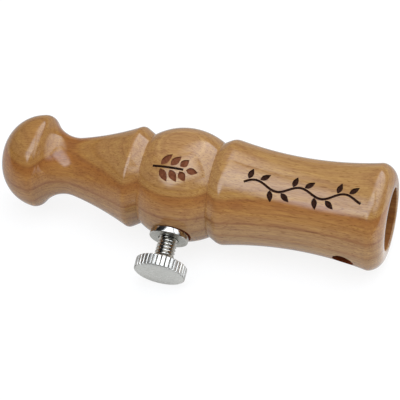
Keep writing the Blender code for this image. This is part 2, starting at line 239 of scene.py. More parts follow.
# %% [markdown]
# ## The diffusers
#
# Two level diffusers hang over the table, a large one to the right and behind and a small brighter
# one in front. Area lamps would light the call as well, but lacquer shows the edges of whatever
# lights it, so each diffuser is a glowing sheet that fades out along its four edges.

# %% Light panels
PANEL_HEIGHT = 0.5
PANEL_COLOUR = "#f0f6ff"


def light_panel(name, middle, size, turn_degrees, fades, glow):
    """A level sheet of diffuser, with the width of its fade at -X, +X, -Y and +Y."""
    shape = bmesh.new()
    bmesh.ops.create_grid(shape, x_segments=1, y_segments=1, size=0.5)
    bmesh.ops.scale(shape, verts=shape.verts, vec=(*size, 1))
    diffuser, tree, _ = new_material(name)
    split = add(tree, "SeparateXYZ", {0: add(tree, "TexCoord", {}).outputs["Object"]})
    strength = glow
    for (axis, way), fade in zip((("X", -1), ("X", 1), ("Y", -1), ("Y", 1)), fades):
        edge = way * size["XY".index(axis)] / 2
        inside = {"Value": split.outputs[axis], "From Min": edge, "From Max": edge - way * fade}
        faded = add(tree, "MapRange", inside, interpolation_type="SMOOTHSTEP")
        strength = add(tree, "Math", {0: faded.outputs[0], 1: strength}, operation="MULTIPLY").outputs[0]
    lit = add(tree, "Emission", {"Color": linear(PANEL_COLOUR), "Strength": strength})
    tree.links.new(lit.outputs[0], tree.nodes["Material Output"].inputs["Surface"])
    panel = mesh_object(name, shape, [diffuser])
    panel.location = (*middle, PANEL_HEIGHT)
    panel.rotation_euler = (0, 0, math.radians(turn_degrees))
    panel.visible_camera = False
    panel.visible_shadow = False
    print(name, "is", size, "m and glows at", glow)


light_panel(
    "large_diffuser",
    middle=(0.645, 0.675),
    size=(1.5, 2.25),
    turn_degrees=-10,
    fades=(0.3, 1.1, 0.3, 0.3),
    glow=2.5,
)
light_panel(
    "small_diffuser",
    middle=(-0.11, -0.235),
    size=(1.0, 0.57),
    turn_degrees=42,
    fades=(0.3, 0.2, 0.2, 0.2),
    glow=3.65,
)

# %% [markdown]
# ## The dark tent
#
# Lacquer and nickel look like themselves only where they mirror something dark as well, so a dark
# tent stands round the table, as photographers do it. Only mirrored rays meet it, so it takes no
# light from the call.

# %% Drape
DRAPE_RADIUS = 2.6
DRAPE_HEIGHT = 0.75
DRAPE_SIDES = 64
drape_shape = bmesh.new()
bmesh.ops.create_circle(drape_shape, cap_ends=True, segments=DRAPE_SIDES, radius=DRAPE_RADIUS)
bmesh.ops.translate(drape_shape, verts=drape_shape.verts, vec=(0, 0, DRAPE_HEIGHT))
hung = bmesh.ops.extrude_edge_only(drape_shape, edges=drape_shape.edges)["geom"]
hem = [part for part in hung if isinstance(part, bmesh.types.BMVert)]
bmesh.ops.translate(drape_shape, verts=hem, vec=(0, 0, -DRAPE_HEIGHT))
# Felt gives the eye a soft dark grey without any shine.
felt, _, _ = new_material("grey_felt", Base_Color=linear("#3a3a3c"), Roughness=1.0)
drape = mesh_object("dark_drape", drape_shape, [felt])
for ray in ("camera", "diffuse", "transmission", "volume_scatter", "shadow"):
    setattr(drape, "visible_" + ray, False)
print("tent is", 2 * DRAPE_RADIUS, "m across and", DRAPE_HEIGHT, "m high")

# %% [markdown]
# ## Lacquered cherry
#
# The body is a fine-grained fruitwood, turned and lacquered. Its yearly layers lie almost flat along
# the blank, so the turned shape cuts them into long hyperbolas on the cone, rings on the ball and
# long streaks on the barrel. Rings drawn on each piece would miss that, so the pattern is a real
# stack of layers in space: a height in millimetres across the layers, waved by noise that is long
# along the fibres, picks the colour. Both wooden pieces read the same coordinates, so the grain
# runs on across their joint.

# %% Layers and fibres
WAVES_MM = ((60, 10, 1.0), (14, 2.0, 0.3))  # length, width and swing
WAVE_DETAIL = 2
FINE_LAYER_MM = 0.55
FINE_DETAIL = 2
STREAKS = ((16, 0.9, 0.8), (5, 0.28, 1.0))  # length and width in mm, and weight
STREAK_DETAIL = 3
NOISE_MIDDLE = 0.5
TONE_MIDDLE = NOISE_MIDDLE * (1 + sum(weight for _, _, weight in STREAKS))


def streaks(tree, blank, length_mm, width_mm, detail):
    """Noise stretched along the fibres of the blank."""
    squeeze = (1 / length_mm, 1 / width_mm, 1 / width_mm)
    stretched = add(tree, "VectorMath", {0: blank, 1: squeeze}, operation="MULTIPLY")
    noise = add(tree, "TexNoise", {"Vector": stretched.outputs[0], "Scale": 1, "Detail": detail})
    return noise.outputs["Fac"]


def layer_height(tree, blank, height):
    """The height across the yearly layers, waved as they grew."""
    for length_mm, width_mm, swing_mm in WAVES_MM:
        noise = streaks(tree, blank, length_mm, width_mm, WAVE_DETAIL)
        swing = add(tree, "Math", {0: noise, 1: NOISE_MIDDLE}, operation="SUBTRACT").outputs[0]
        height = add(tree, "Math", {0: swing, 1: swing_mm, 2: height}, operation="MULTIPLY_ADD").outputs[0]
    return height


def fibre_tone(tree, blank, height):
    """Fine layers and streaks added up: dark below TONE_MIDDLE and light above it."""
    fine = {"W": height, "Scale": 1 / FINE_LAYER_MM, "Detail": FINE_DETAIL}
    tone = add(tree, "TexNoise", fine, noise_dimensions="1D").outputs["Fac"]
    for length_mm, width_mm, weight in STREAKS:
        noise = streaks(tree, blank, length_mm, width_mm, STREAK_DETAIL)
        tone = add(tree, "Math", {0: noise, 1: weight, 2: tone}, operation="MULTIPLY_ADD").outputs[0]
    return tone


print("grain is drawn from", STREAKS[-1][1], "to", WAVES_MM[0][0], "mm")

# %% Shades of the layers
LAYER_SPAN_MM = (-20, 8)
LAYERS_MM = [  # height across the layers, and colour
    (-20, "#b2885a"),
    (-12.4, "#aa7f50"),
    (-11.9, "#a17447"),
    (-11.0, "#b2885a"),
    (-9.0, "#b08758"),
    (-8.4, "#aa7b4c"),
    (-7.4, "#b08659"),
    (-5.3, "#aa7f52"),
    (-4.75, "#9a6942"),
    (-4.3, "#aa7c4e"),
    (-2.6, "#ab7b4b"),
    (-0.5, "#a06b3c"),
    (0.1, "#9f7042"),
    (0.4, "#a87d4c"),
    (0.75, "#a77b4b"),
    (0.95, "#9c7041"),
    (1.3, "#ac8253"),
    (2.4, "#a98052"),
    (3.1, "#ac8253"),
    (3.6, "#a97e4f"),
    (4.2, "#af8559"),
]
print("cherry has", len(LAYERS_MM), "shades across its layers")

# %% Cherry from one blank
LAYER_TILT = 1.43
LAYER_ZERO_MM = 18.33
STREAK_SPAN = 0.5
SHADES = (0.7, 1.3)
HUES = (0.488, 0.512)
# A cherry pore is under 0.1 mm wide, too fine to show, so pores are drawn about twice as coarse.
PORE_MM = (1.6, 0.16)
PORE_DETAIL = 1
PORE_LEVELS = (0.56, 0.74)
PORE_STRENGTH = 0.6
PORE_COLOUR = "#6b3d1c"
BROWNED_MM = (-40, 0)  # the wood is browner from the middle to the mouth
BROWNING = [(0, "#f0e5cf"), (0.6, "#f2ebde"), (1, "#faf8f0")]
FIBRE_DULLING = (1.15, 0.9)
FACTOR, BELOW, ABOVE, MIXED = 0, 6, 7, 2  # where a Mix node of colours has its sockets


def cherry(name, stain, rough, depth_mm, **finish):
    """Cherry cut from one blank, with a stain over its colour and grain that stands up by a depth."""
    made, tree, shader = new_material(name, **finish)
    place = add(tree, "TexCoord", {}).outputs["Object"]
    laid = {"Rotation": (0, math.radians(LAYER_TILT), 0), "Location": (0, 0, -LAYER_ZERO_MM)}
    blank = add(tree, "Mapping", {"Vector": place, "Scale": (1 / MM,) * 3, **laid}).outputs[0]
    split = add(tree, "SeparateXYZ", {0: blank})
    height = layer_height(tree, blank, split.outputs["Z"])
    tone = fibre_tone(tree, blank, height)

    low, high = LAYER_SPAN_MM
    share = add(tree, "MapRange", {"Value": height, "From Min": low, "From Max": high})
    stops = [((mm - low) / (high - low), code) for mm, code in LAYERS_MM]
    layers = add(tree, "ValToRGB", {"Fac": share.outputs[0]}, stops)
    span = {"From Min": TONE_MIDDLE - STREAK_SPAN, "From Max": TONE_MIDDLE + STREAK_SPAN}
    shade = add(tree, "MapRange", {"Value": tone, **span, "To Min": SHADES[0], "To Max": SHADES[1]})
    shaded = {"Value": shade.outputs[0], "From Min": SHADES[0], "From Max": SHADES[1]}
    hue = add(tree, "MapRange", {**shaded, "To Min": HUES[0], "To Max": HUES[1]})
    toned = {"Color": layers.outputs[0], "Value": shade.outputs[0], "Hue": hue.outputs[0]}
    wood = add(tree, "HueSaturation", toned)

    flecks = {"Value": streaks(tree, blank, *PORE_MM, PORE_DETAIL), "To Max": PORE_STRENGTH}
    pores = add(tree, "MapRange", {**flecks, "From Min": PORE_LEVELS[0], "From Max": PORE_LEVELS[1]})
    flecked = {FACTOR: pores.outputs[0], BELOW: wood.outputs[0], ABOVE: linear(PORE_COLOUR)}
    colour = add(tree, "Mix", flecked, data_type="RGBA").outputs[MIXED]
    to_bell = {"Value": split.outputs["X"], "From Min": BROWNED_MM[0], "From Max": BROWNED_MM[1]}
    to_bell = add(tree, "MapRange", to_bell)
    browning = add(tree, "ValToRGB", {"Fac": to_bell.outputs[0]}, BROWNING)
    for wash in (browning.outputs[0], linear(stain)):
        washed = {FACTOR: 1.0, BELOW: colour, ABOVE: wash}
        colour = add(tree, "Mix", washed, data_type="RGBA", blend_type="MULTIPLY").outputs[MIXED]
    tree.links.new(colour, shader.inputs["Base Color"])

    dulled = {**shaded, "To Min": FIBRE_DULLING[0] * rough, "To Max": FIBRE_DULLING[1] * rough}
    tree.links.new(add(tree, "MapRange", dulled).outputs[0], shader.inputs["Roughness"])
    relief = add(tree, "Bump", {"Height": tone, "Distance": depth_mm * MM})
    skin = "Coat Normal" if "Coat_Weight" in finish else "Normal"
    tree.links.new(relief.outputs[0], shader.inputs[skin])
    return made


# %% Cherry, lacquered and bare
# Lacquer gives the eye a deep warm grain under one clear sheen, which the fibres ripple a little.
gloss = {"Coat_Weight": 1, "Coat_Roughness": 0.07, "Coat_IOR": 1.6}
lacquered_cherry = cherry("lacquered_cherry", "#ffffff", 0.5, 0.0012, Specular_IOR_Level=0, **gloss)
# Bare wood off the tool is as warm, but matt, with fibres that stand up.
bare_cherry = cherry("bare_cherry", "#f0e6dc", 0.6, 0.01, Specular_IOR_Level=0.2)
# A bore is rougher from a scraping tool, and made darker as painted shade inside it.
shaded_bore_cherry = cherry("shaded_bore_cherry", "#e0c6aa", 0.7, 0.02, Specular_IOR_Level=0.1)
# Cross grain in a drilled hole drinks the lacquer and is darker, and painted shade makes the hole darker
# and redder still.
drilled_grain_and_shade_cherry = cherry("drilled_grain_and_shade_cherry", "#a5684c", 0.7, 0.02, Specular_IOR_Level=0.1)

# %% [markdown]
# ## Scorched cherry, nickel, brass, rubber and nylon
#
# The other finishes are plain by comparison. Scorched wood is what a hot tip or a laser leaves in
# a mark. The screw is nickel plate over brass, bright or satin as the tool left it. The reed unit
# inside is rolled brass in a beech plug, sealed by black rubber rings. One noise can drive colour,
# shine and height together, as a real surface does. The real grains of plate, rubber and nylon are
# too fine to show, so they are drawn at about half a millimetre.

# %% Speckled finishes
GRAIN_DETAIL = 3
GRAIN_LEVELS = (0.35, 0.65)
GRAIN_DULLING = (1.2, 0.85)


def speckled(name, tones, grain_mm, rough, depth_mm, **finish):
    """A finish whose colour, shine and height wander together in grains of a real size."""
    made, tree, shader = new_material(name, **finish)
    place = add(tree, "TexCoord", {}).outputs["Object"]
    grain = {"Vector": place, "Scale": 1 / (grain_mm * MM), "Detail": GRAIN_DETAIL}
    grain = add(tree, "TexNoise", grain).outputs["Fac"]
    tint = add(tree, "ValToRGB", {"Fac": grain}, zip(GRAIN_LEVELS, tones))
    tree.links.new(tint.outputs[0], shader.inputs["Base Color"])
    dulled = {"Value": grain, "From Min": GRAIN_LEVELS[0], "From Max": GRAIN_LEVELS[1]}
    dulled.update({"To Min": GRAIN_DULLING[0] * rough, "To Max": GRAIN_DULLING[1] * rough})
    tree.links.new(add(tree, "MapRange", dulled).outputs[0], shader.inputs["Roughness"])
    relief = add(tree, "Bump", {"Height": grain, "Distance": depth_mm * MM})
    tree.links.new(relief.outputs[0], shader.inputs["Normal"])
    return made


# %% The other finishes
# Scorched wood is brown, dull and a little uneven, and charred wood is nearly black.
burnt = {"rough": 0.8, "depth_mm": 0.03, "Specular_IOR_Level": 0.1}
scorched_cherry = speckled("scorched_cherry", ("#663823", "#7d4a30"), 0.5, **burnt)
charred_cherry = speckled("charred_cherry", ("#241209", "#3a2014"), 0.4, **burnt)
# Bright plate is a clear warm-grey mirror.
nickel_plate = speckled("nickel_plate", ("#cbc8c1", "#d8d5ce"), 0.8, 0.1, 0.001, Metallic=1)
# Pressed ridges scatter the light and look whitish.
knurled_nickel = speckled("knurled_nickel", ("#dcdad4", "#e8e6e0"), 0.6, 0.38, 0.004, Metallic=1)
# A face left by the cutter is satin. It is made grey on the flange as painted shade under the head, and
# pale on the head as painted light.
flange_shade_nickel = speckled("flange_shade_nickel", ("#c2c2bb", "#d2d2cb"), 0.5, 0.32, 0.004, Metallic=1)
head_highlight_nickel = speckled("head_highlight_nickel", ("#eaeae4", "#f4f4ee"), 0.5, 0.32, 0.004, Metallic=1)
# Painted shade: the knurl's grooves and the thread's core get a dark nickel, as shade falls there.
groove_shade_nickel = speckled("groove_shade_nickel", ("#55524b", "#716d64"), 0.4, 0.3, 0.004, Metallic=1)
# Rolled sheet is golden with a soft sheen.
rolled_brass = speckled("rolled_brass", ("#c79a4d", "#d8ad60"), 0.6, 0.28, 0.002, Metallic=1)
# Bare beech is pale pinkish brown with short flecks.
bare_beech = speckled("bare_beech", ("#b98f62", "#c9a274"), 0.7, 0.65, 0.02)
# Moulded rubber is matt black.
nitrile_rubber = speckled("nitrile_rubber", ("#161616", "#202020"), 0.4, 0.6, 0.01)
# Moulded nylon is a milky white with a waxy sheen.
moulded_nylon = speckled("moulded_nylon", ("#d9d6cc", "#e4e1d8"), 0.6, 0.45, 0.005)

# %% [markdown]
# ## Turning
#
# Nearly everything here was made on a lathe. An outline could be a long list of points, but a
# turner thinks in corners and sweeps: go to this station and radius, on a straight cut or on an arc
# that bulges by so much, and soften that corner. The pen below draws arcs by spinning one vertex
# about the arc's centre. Small roundings are vertex bevels, and larger ones are arcs of their own.
# Spinning the outline then makes the piece. Below, the size of a round part or a hole is its radius,
# and a pair of sizes gives the stations where it starts and ends.

# %% Outline
ARC_STEP = 0.35 * MM
CORNER_SEGMENTS = 5


def draw(shape, start, moves):
    """Draws an outline in XZ. A move is a station and a radius in mm, then a bulge and a rounding."""
    pen = shape.verts.new((start[0] * MM, 0, start[1] * MM))
    soft_corners = []
    for move in moves:
        station, radius, bulge, rounding = (*move, 0, 0)[:4]
        goal = Vector((station * MM, 0, radius * MM))
        if bulge:
            chord = goal - pen.co
            half = chord.length / 2
            bend = (half**2 + (bulge * MM) ** 2) / (2 * bulge * MM)
            outward = Vector((-chord.z, 0, chord.x)).normalized()
            centre = (pen.co + goal) / 2 + outward * (bulge * MM - bend)
            sweep = 2 * math.asin(max(-1, min(1, half / bend)))
            steps = max(2, math.ceil(abs(sweep * bend) / ARC_STEP))
            spun = bmesh.ops.spin(shape, geom=[pen], cent=centre, axis=(0, 1, 0), angle=sweep, steps=steps)
            pen = spun["geom_last"][0]
        else:
            pen = bmesh.ops.extrude_vert_indiv(shape, verts=[pen])["verts"][0]
        pen.co = goal
        if rounding:
            soft_corners.append((pen, rounding * MM))
    softened = {"affect": "VERTICES", "segments": CORNER_SEGMENTS, "profile": 0.5, "material": -1}
    for corner, offset in soft_corners:
        bmesh.ops.bevel(shape, geom=[corner], offset=offset, **softened)


print("arcs are drawn in steps of", ARC_STEP / MM, "mm")

# %% Lathe
WELD = 0.0005 * MM
FULL_CIRCLE = 2 * math.pi


def spin_round(shape, segments):
    """Spins an outline once round the X axis to a closed surface that faces outwards."""
    geom = list(shape.verts) + list(shape.edges)
    bmesh.ops.spin(shape, geom=geom, axis=(1, 0, 0), angle=FULL_CIRCLE, steps=segments, use_merge=True)
    bmesh.ops.remove_doubles(shape, verts=shape.verts, dist=WELD)
    bmesh.ops.recalc_face_normals(shape, faces=shape.faces)
    print("turned", len(shape.faces), "faces")


def turn(start, moves, segments):
    """A solid turned on the X axis. An outline that starts off the axis is closed and leaves a bore."""
    shape = bmesh.new()
    draw(shape, start, moves)
    if start[1]:
        shape.edges.new([vert for vert in shape.verts if len(vert.link_edges) == 1])
    spin_round(shape, segments)
    return shape


# %% [markdown]
# ## From a shape to a piece
#
# A finished piece is an object at the origin with its place in its mesh. It rides on a CAD body and
# stands for a CAD node. Holes and marks are made as on the real call: a tool is taken out of the
# turned piece, and the cut gets the tool's finish.

# %% Pieces and cuts
SHARP_ANGLE = math.radians(32)


def applied_mesh(made):
    """The mesh of an object with its modifiers or its bevel applied."""
    return bpy.data.meshes.new_from_object(made.evaluated_get(bpy.context.evaluated_depsgraph_get()))


def cut(made, tool):
    """Takes a closed tool out of an object, and the cut keeps the tool's material."""
    modifier = made.modifiers.new("cut", "BOOLEAN")
    modifier.object = tool
    modifier.solver = "EXACT"
    modifier.material_mode = "TRANSFER"
    made.data = applied_mesh(made)
    made.modifiers.clear()
    print(tool.name, "leaves", made.name, "with", len(made.data.polygons), "faces")
    bpy.data.objects.remove(tool)


def finish_piece(made, place, body, node):
    """Lays a modelled object down in the frame and says what it is there."""
    made.data.transform(place)
    made.data.shade_smooth()
    made.data.set_sharp_from_angle(angle=SHARP_ANGLE)
    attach(made, body)
    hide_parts(node)
    print(made.name, "rides on", body, "with", len(made.data.polygons), "faces")


# %% [markdown]
# ## The mouthpiece
#
# One turning holds the knob for the lips, the neck, the cone with its collar, the ball that carries
# the screw, and the tenon with two grooves that the barrel is pushed over. Only the outside is
# lacquered: the bores and the tenon stay bare, so their faces get a second material.

# %% Grooves and bare wood
GROOVE_WIDTH_MM = 1.3
GROOVE_DEPTH_MM = 1.0
FACING_AXIS = -0.3


def ring_groove(station, radius):
    """Moves that cut a square groove for a sealing ring."""
    front = station - GROOVE_WIDTH_MM / 2
    back = station + GROOVE_WIDTH_MM / 2
    floor_radius = radius - GROOVE_DEPTH_MM
    return [
        (front, radius),
        (front, floor_radius),
        (back, floor_radius),
        (back, radius),
    ]


def bare_inside(shape, walls_mm, bare_mm):
    """Gives the second material to walls that face the axis, and to all faces, between two stations."""
    for face in shape.faces:
        middle = face.calc_center_median()
        station = middle.x / MM
        outward = Vector((0, middle.y, middle.z)).normalized()
        wall = face.normal.dot(outward) < FACING_AXIS and walls_mm[0] < station < walls_mm[1]
        if wall or bare_mm[0] < station < bare_mm[1]:
            face.material_index = 1


print("grooves for rings are", GROOVE_WIDTH_MM, "mm wide and", GROOVE_DEPTH_MM, "mm deep")

# %% Mouthpiece outline
BODY_SEGMENTS = 192
WINDWAY_MM = 2.4
PARTING_MM = 45.5
PARTING_RADIUS_MM = 9.67
PARTING_EDGE_MM = 0.04
JOINT_GAP_MM = 0.01
TENON_MM = 7.5
TENON_END_MM = 56.5
CHAMBER_MM = 5.2
RING_STATIONS_MM = (46.9, 54.7)
LACQUER_REACH_MM = 0.8
mouthpiece_shape = turn(
    (0.5, WINDWAY_MM),
    [
        (0, 2.9, 0.15),
        (7.289, 9.571, 1.558),  # the knob
        (9.202, 8.714, 0.297),
        (15.818, 6.102, -1.095),  # the hollow neck
        (27.927, 10.311, -0.339),  # the cone
        (28.954, 10.264, 0.127),  # the collar's edge
        (30.9, 9.12),
        (PARTING_MM, PARTING_RADIUS_MM, 2.255, PARTING_EDGE_MM),  # the ball
        (PARTING_MM, TENON_MM),
        *ring_groove(RING_STATIONS_MM[0], TENON_MM),
        *ring_groove(RING_STATIONS_MM[1], TENON_MM),
        (TENON_END_MM, TENON_MM, 0, 0.4),
        (TENON_END_MM, CHAMBER_MM, 0, 0.15),
        (27.15, CHAMBER_MM),  # the reed chamber and its drill point
        (25.47, WINDWAY_MM),
    ],
    BODY_SEGMENTS,
)
bare_tenon = (PARTING_MM - JOINT_GAP_MM, TENON_END_MM + JOINT_GAP_MM)
bare_inside(mouthpiece_shape, (LACQUER_REACH_MM, TENON_END_MM), bare_tenon)
mouthpiece_surface = BVHTree.FromBMesh(mouthpiece_shape)
mouthpiece = mesh_object("call_mouthpiece", mouthpiece_shape, [lacquered_cherry, bare_cherry])

# %% [markdown]
# ## The seat of the screw's bush
#
# A flat is spot-faced into the ball, square to the screw, and a hole is drilled through it into the
# reed chamber. Both cuts are one turned tool on the screw's axis, taken out by a Boolean.

# %% Seat
SEAT_FLOOR_MM = 11.0
SEAT_TOOL_MM = (4, 14)
SPOT_FACE_MM = 4.4
BUSH_HOLE_MM = 3.0
TUBE_SEGMENTS = 96
seat_shape = turn(
    (SEAT_TOOL_MM[0], 0),
    [
        (SEAT_TOOL_MM[0], BUSH_HOLE_MM),
        (SEAT_FLOOR_MM, BUSH_HOLE_MM),
        (SEAT_FLOOR_MM, SPOT_FACE_MM, 0, 0.15),
        (SEAT_TOOL_MM[1], SPOT_FACE_MM),
        (SEAT_TOOL_MM[1], 0),
    ],
    TUBE_SEGMENTS,
)
seat_tool = mesh_object("seat_tool", seat_shape, [drilled_grain_and_shade_cherry])
seat_tool.data.transform(body_axis.inverted() @ screw_axis)
cut(mouthpiece, seat_tool)

# %% [markdown]
# ## Scorched marks
#
# The wood carries small ornaments burnt into it. A texture would give only the colour, so leaves and
# stems are cut as shallow real recesses. Each is drawn on a flat pattern, in stations along the body
# and heights across it, and a ray cast to the wood rolls the pattern on: it finds the place and the
# slope of each leaf. A stem is a round tube along such points, half sunk, which leaves a groove with
# a round bottom. Tools that overlap can spoil a Boolean, so stems are cut before leaves.

# %% From the pattern to the wood
MARK_TURN = 82  # from the screw round to the middle of the marks
RAY_START_MM = 30


def surface_spot(wood, station_mm, height_mm):
    """Where a point of the flat pattern lies on the wood, and the wood's normal there."""
    surface, radius_mm = wood
    angle = math.radians(MARK_TURN) + height_mm / radius_mm
    outward = Vector((0, -math.sin(angle), -math.cos(angle)))
    start = Vector((station_mm, 0, 0)) * MM + outward * RAY_START_MM * MM
    point, normal, _, _ = surface.ray_cast(start, -outward)
    return point, normal


print("marks lie", MARK_TURN, "degrees round from the screw")

# %% Leaves
LEAF_DEPTH_MM = 0.3
LEAF_TOOL_MM = 1.2
LEAF_SEGMENTS = 28
LEAF_TAPER = 0.3


def cut_leaf(tools, wood, stem_mm, heading, size_mm, gap_mm):
    """Adds the tool for a leaf that points to heading, a gap away from its spot on the stem."""
    angle = math.radians(heading)
    length_mm, width_mm = size_mm
    reach_mm = length_mm / 2 + gap_mm
    station_mm = stem_mm[0] + reach_mm * math.cos(angle)
    height_mm = stem_mm[1] + reach_mm * math.sin(angle)
    point, normal = surface_spot(wood, station_mm, height_mm)
    forward = (along - normal * normal.x).normalized()
    ahead = forward * math.cos(angle) + normal.cross(forward) * math.sin(angle)
    place = Matrix((ahead, normal.cross(ahead), normal)).transposed().to_4x4()
    place.translation = point - normal * LEAF_DEPTH_MM * MM
    rim = bmesh.ops.create_circle(tools, cap_ends=True, segments=LEAF_SEGMENTS, radius=1)["verts"]
    for vert in rim:
        x, y, _ = vert.co
        pointed = math.sqrt(max(0, 1 - x * x)) * (1 - LEAF_TAPER * x)
        vert.co = (x * length_mm / 2 * MM, y * pointed * width_mm / 2 * MM, 0)
    faces = list({face for vert in rim for face in vert.link_faces})
    grown = bmesh.ops.extrude_face_region(tools, geom=faces)["geom"]
    top = [part for part in grown if isinstance(part, bmesh.types.BMVert)]
    bmesh.ops.translate(tools, verts=top, vec=(0, 0, LEAF_TOOL_MM * MM))
    bmesh.ops.transform(tools, matrix=place, verts=rim + top)


print("leaves are sunk", LEAF_DEPTH_MM, "mm")

# %% Stems, and the burning
STEM_MM = 0.26
STEM_ROUNDNESS = 3


def cut_stem(tools, wood, spots_mm):
    """Adds the tool for a stem through spots of (station, height)."""
    line = bpy.data.curves.new("stem", "CURVE")
    line.dimensions = "3D"
    line.bevel_depth = STEM_MM * MM
    line.bevel_resolution = STEM_ROUNDNESS
    line.use_fill_caps = True
    spline = line.splines.new("POLY")
    spline.points.add(len(spots_mm) - 1)
    for dot, spot_mm in zip(spline.points, spots_mm):
        point, _ = surface_spot(wood, *spot_mm)
        dot.co = (*point, 1)
    stem = bpy.data.objects.new("stem", line)
    bpy.context.scene.collection.objects.link(stem)
    tools.from_mesh(applied_mesh(stem))
    bpy.data.objects.remove(stem)


def burn(made, tools, finish):
    """Cuts the marks into a piece and leaves them burnt."""
    bmesh.ops.remove_doubles(tools, verts=tools.verts, dist=WELD)
    bmesh.ops.recalc_face_normals(tools, faces=tools.faces)
    cut(made, mesh_object("burning_tool", tools, [finish]))


print("stems are", 2 * STEM_MM, "mm wide")

# %% [markdown]
# ## The sprig on the ball
#
# A straight stem carries three pairs of leaves that get smaller towards a leaf at its tip.

# %% Sprig
BALL_MM = 11.6
SPRIG_STEM_MM = (33.9, 40.4)
SPRIG_STEPS = 12
SPRIG_PAIRS_MM = ((35.2, 3.1), (37.3, 2.8), (39.3, 2.3))  # station on the stem, and leaf length
SPRIG_LEAF_WIDTH_MM = 1.5
SPRIG_LEAF_HEADING = 52
SPRIG_LEAF_GAP_MM = 0.62
SPRIG_TIP_MM = (2.4, 1.4)  # length and width
SPRIG_TIP_GAP_MM = 0.5


def stations_between(ends_mm, steps):
    """Even stations from one end to the other."""
    return [ends_mm[0] + (ends_mm[1] - ends_mm[0]) * step / steps for step in range(steps + 1)]


ball = (mouthpiece_surface, BALL_MM)
sprig_stem = bmesh.new()
stations = stations_between(SPRIG_STEM_MM, SPRIG_STEPS)
cut_stem(sprig_stem, ball, [(station, 0) for station in stations])
burn(mouthpiece, sprig_stem, charred_cherry)
sprig_leaves = bmesh.new()
for station, length in SPRIG_PAIRS_MM:
    for heading in (-SPRIG_LEAF_HEADING, SPRIG_LEAF_HEADING):
        size_mm = (length, SPRIG_LEAF_WIDTH_MM)
        cut_leaf(sprig_leaves, ball, (station, 0), heading, size_mm, SPRIG_LEAF_GAP_MM)
cut_leaf(sprig_leaves, ball, (SPRIG_STEM_MM[1], 0), 0, SPRIG_TIP_MM, SPRIG_TIP_GAP_MM)
burn(mouthpiece, sprig_leaves, scorched_cherry)
finish_piece(mouthpiece, body_axis, "mouthpiece", "mouthpiece")

# %% [markdown]
# ## The barrel
#
# The barrel is a hollow waist between a rounded shoulder and the bell. Its socket slides over the
# tenon, and its bore opens to the bell's flat end ring. It is turned as one outline, like the
# mouthpiece. Near the bell a small countersunk hole takes a lanyard, cut by a turned drill.

# %% Barrel outline
BELL_END_MM = 81.5
SOCKET_MM = 7.7
SOCKET_END_MM = 57.95
BORE_MM = 6.4
BARREL_FRONT_MM = PARTING_MM + JOINT_GAP_MM
barrel_shape = turn(
    (BARREL_FRONT_MM, SOCKET_MM),
    [
        (BARREL_FRONT_MM, PARTING_RADIUS_MM, 0, PARTING_EDGE_MM),
        (47.076, 10.522),
        (48.805, 10.792, 0.152),  # the shoulder
        (78.102, 10.89, -1.411),  # the hollow waist
        (78.789, 10.866, 0.04),
        (BELL_END_MM, 7.5, 0.699),  # the bell's round end
        (BELL_END_MM, BORE_MM, 0, 0.3),
        (SOCKET_END_MM, BORE_MM),
        (SOCKET_END_MM, SOCKET_MM),
    ],
    BODY_SEGMENTS,
)
# Painted shade: the barrel's bore and socket get the darkened cherry.
bare_inside(barrel_shape, (0, BELL_END_MM - LACQUER_REACH_MM), (0, BARREL_FRONT_MM + JOINT_GAP_MM))
barrel_surface = BVHTree.FromBMesh(barrel_shape)
barrel = mesh_object("call_barrel", barrel_shape, [lacquered_cherry, shaded_bore_cherry])

# %% Lanyard hole
LANYARD_HOLE_MM = 2.0
COUNTERSUNK_MM = LANYARD_HOLE_MM + 0.5
COUNTERSINK_MM = (9.5, 10.6)
COUNTERSINK_BULGE_MM = -0.12
DRILL_MM = (5, 14)
LANYARD_STATION_MM = 73.5
LANYARD_TURN = 6.0
SMALL_SEGMENTS = 64
drill_shape = turn(
    (DRILL_MM[0], 0),
    [
        (DRILL_MM[0], LANYARD_HOLE_MM),
        (COUNTERSINK_MM[0], LANYARD_HOLE_MM),
        (COUNTERSINK_MM[1], COUNTERSUNK_MM, COUNTERSINK_BULGE_MM),
        (DRILL_MM[1], COUNTERSUNK_MM),
        (DRILL_MM[1], 0),
    ],
    SMALL_SEGMENTS,
)
drill = mesh_object("lanyard_drill", drill_shape, [drilled_grain_and_shade_cherry])
drill.data.transform(
    Matrix.Translation((LANYARD_STATION_MM * MM, 0, 0))
    @ Matrix.Rotation(math.radians(LANYARD_TURN), 4, "X")
    @ Matrix.Rotation(RIGHT_ANGLE, 4, "Y")
)
cut(barrel, drill)

# %% [markdown]
# ## The vine on the barrel
#
# The vine's stem is a sine wave along the barrel, and two small leaves grow out of each bend, turned
# away from the stem's own slope there.

# %% Vine
WAIST_MM = 9.6
VINE_MM = (52.6, 76.4)
VINE_STEPS = 60
VINE_WAVE_MM = 9.0
VINE_SWING_MM = 0.8
VINE_BENDS = 5
VINE_LEAF_STEPS_MM = (-1.5, 0.6)
VINE_LEAF_MM = (2.4, 1.15)  # length and width
VINE_LEAF_TURN = 52
VINE_LEAF_GAP_MM = STEM_MM + 0.1
SLOPE_STEP_MM = 0.1


def vine_height(station_mm):
    """How far the vine's stem stands off its middle line, in millimetres."""
    return VINE_SWING_MM * math.sin(FULL_CIRCLE * (station_mm - VINE_MM[0]) / VINE_WAVE_MM)


